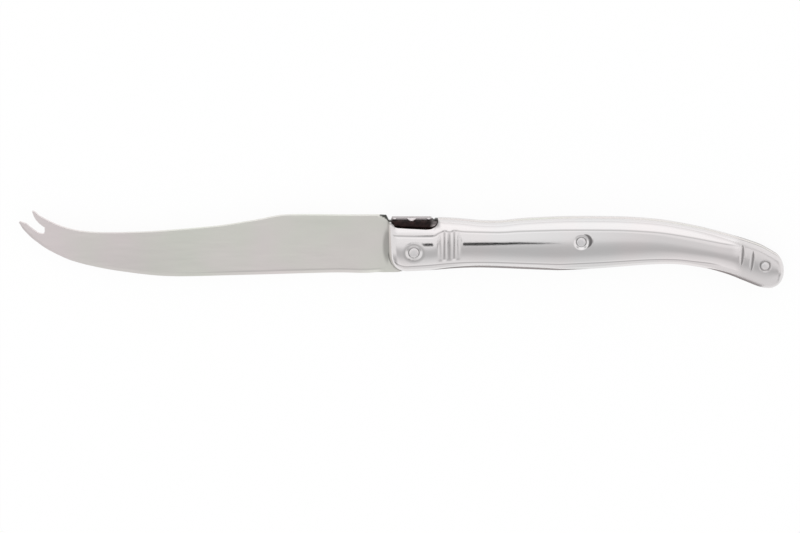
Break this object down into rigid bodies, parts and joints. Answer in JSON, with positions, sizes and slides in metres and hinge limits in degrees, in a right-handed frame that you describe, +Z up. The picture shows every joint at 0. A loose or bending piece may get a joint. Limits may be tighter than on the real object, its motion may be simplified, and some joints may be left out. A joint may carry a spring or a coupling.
{
  "type": "cheese knife",
  "caption": "Cheese knife with an upswept, forked serving blade and a hollow steel handle of two pressed shells, pinned over a full tang, with a small ornament let into its back.",
  "frame": {"origin": "middle of the bounding box in plan, at the height of the lowest point, with the knife lying on its right side", "axes": "+X from the blade's tip to the handle's tail, +Y from the cutting edge to the back, +Z up out of the knife's left side"},
  "size_m": [0.232, 0.0236, 0.0106],
  "materials": {
    "blade_steel": "satin ground stainless steel",
    "polished_shell": "mirror polished stainless sheet",
    "bedding_resin": "dark set resin",
    "ornament_steel": "satin cast steel",
    "pin_steel": "polished peened pin",
    "sleeve_steel": "turned, unpolished"
  },
  "bodies": {
    "root": {"blade": "blade_steel", "left_shell": "polished_shell", "right_shell": "polished_shell", "left_bedding": "bedding_resin", "right_bedding": "bedding_resin", "notch_filling": "bedding_resin", "back_ornament": "ornament_steel", "front_pin": "pin_steel", "middle_pin": "pin_steel", "end_pin": "pin_steel", "left_front_sleeve": "sleeve_steel", "left_middle_sleeve": "sleeve_steel", "left_end_sleeve": "sleeve_steel", "right_front_sleeve": "sleeve_steel", "right_middle_sleeve": "sleeve_steel", "right_end_sleeve": "sleeve_steel"}
  },
  "joints": []
}
